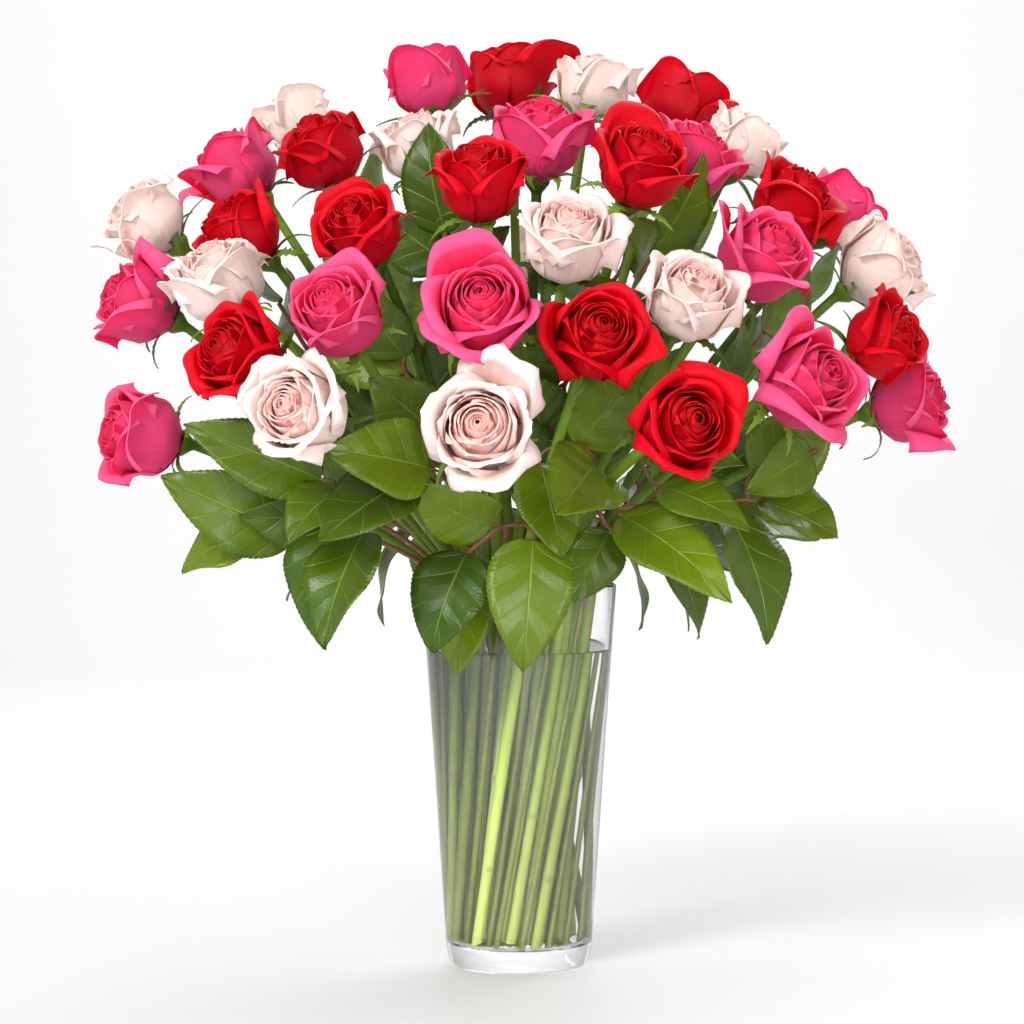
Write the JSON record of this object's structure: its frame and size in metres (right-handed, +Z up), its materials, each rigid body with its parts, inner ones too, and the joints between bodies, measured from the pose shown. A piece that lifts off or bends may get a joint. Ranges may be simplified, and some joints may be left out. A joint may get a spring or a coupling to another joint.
{
  "type": "bouquet of long-stemmed roses in a tapered glass vase of water",
  "caption": "Domed, front-facing bouquet of red, hot pink and pale pink long-stemmed roses with broad green salal leaves, in a tall tapered clear glass vase of water.",
  "frame": {"origin": "centre of the vase's flat foot, on the table", "axes": "+Z up along the vase's axis, -Y towards the front of the bouquet, +X to the viewer's right"},
  "size_m": [0.5149, 0.4225, 0.5724],
  "materials": {
    "glass": "clear, polished",
    "water": "clear liquid",
    "red_petals": "velvety rose petal, deep red",
    "hot_pink_petals": "satiny rose petal, hot pink with paler edges",
    "pale_pink_petals": "satiny rose petal, pale pink to cream",
    "foliage": "waxy green leaf, semi-gloss",
    "stem": "smooth green rose stem with thorn scars"
  },
  "bodies": {
    "root": {"vase": "glass", "water": "water", "red_rose_01": "red_petals", "red_rose_02": "red_petals", "red_rose_03": "red_petals", "red_rose_04": "red_petals", "red_rose_05": "red_petals", "red_rose_06": "red_petals", "red_rose_07": "red_petals", "red_rose_08": "red_petals", "red_rose_09": "red_petals", "red_rose_10": "red_petals", "red_rose_11": "red_petals", "red_rose_12": "red_petals", "hot_pink_rose_01": "hot_pink_petals", "hot_pink_rose_02": "hot_pink_petals", "hot_pink_rose_03": "hot_pink_petals", "hot_pink_rose_04": "hot_pink_petals", "hot_pink_rose_05": "hot_pink_petals", "hot_pink_rose_06": "hot_pink_petals", "hot_pink_rose_07": "hot_pink_petals", "hot_pink_rose_08": "hot_pink_petals", "hot_pink_rose_09": "hot_pink_petals", "hot_pink_rose_10": "hot_pink_petals", "hot_pink_rose_11": "hot_pink_petals", "hot_pink_rose_12": "hot_pink_petals", "pale_pink_rose_01": "pale_pink_petals", "pale_pink_rose_02": "pale_pink_petals", "pale_pink_rose_03": "pale_pink_petals", "pale_pink_rose_04": "pale_pink_petals", "pale_pink_rose_05": "pale_pink_petals", "pale_pink_rose_06": "pale_pink_petals", "pale_pink_rose_07": "pale_pink_petals", "pale_pink_rose_08": "pale_pink_petals", "pale_pink_rose_09": "pale_pink_petals", "pale_pink_rose_10": "pale_pink_petals", "pale_pink_rose_11": "pale_pink_petals", "pale_pink_rose_12": "pale_pink_petals", "salal_sprig_01": "foliage", "salal_sprig_02": "foliage", "salal_sprig_03": "foliage", "salal_sprig_04": "foliage", "salal_sprig_05": "foliage", "salal_sprig_06": "foliage", "salal_sprig_07": "foliage", "salal_sprig_08": "foliage", "salal_sprig_09": "foliage", "salal_sprig_10": "foliage", "salal_sprig_11": "foliage", "salal_sprig_12": "foliage", "salal_sprig_13": "foliage", "salal_sprig_14": "foliage", "salal_sprig_15": "foliage", "salal_sprig_16": "foliage", "salal_sprig_17": "foliage", "salal_sprig_18": "foliage", "salal_sprig_19": "foliage", "salal_sprig_20": "foliage", "salal_sprig_21": "foliage", "salal_sprig_22": "foliage"}
  },
  "joints": []
}
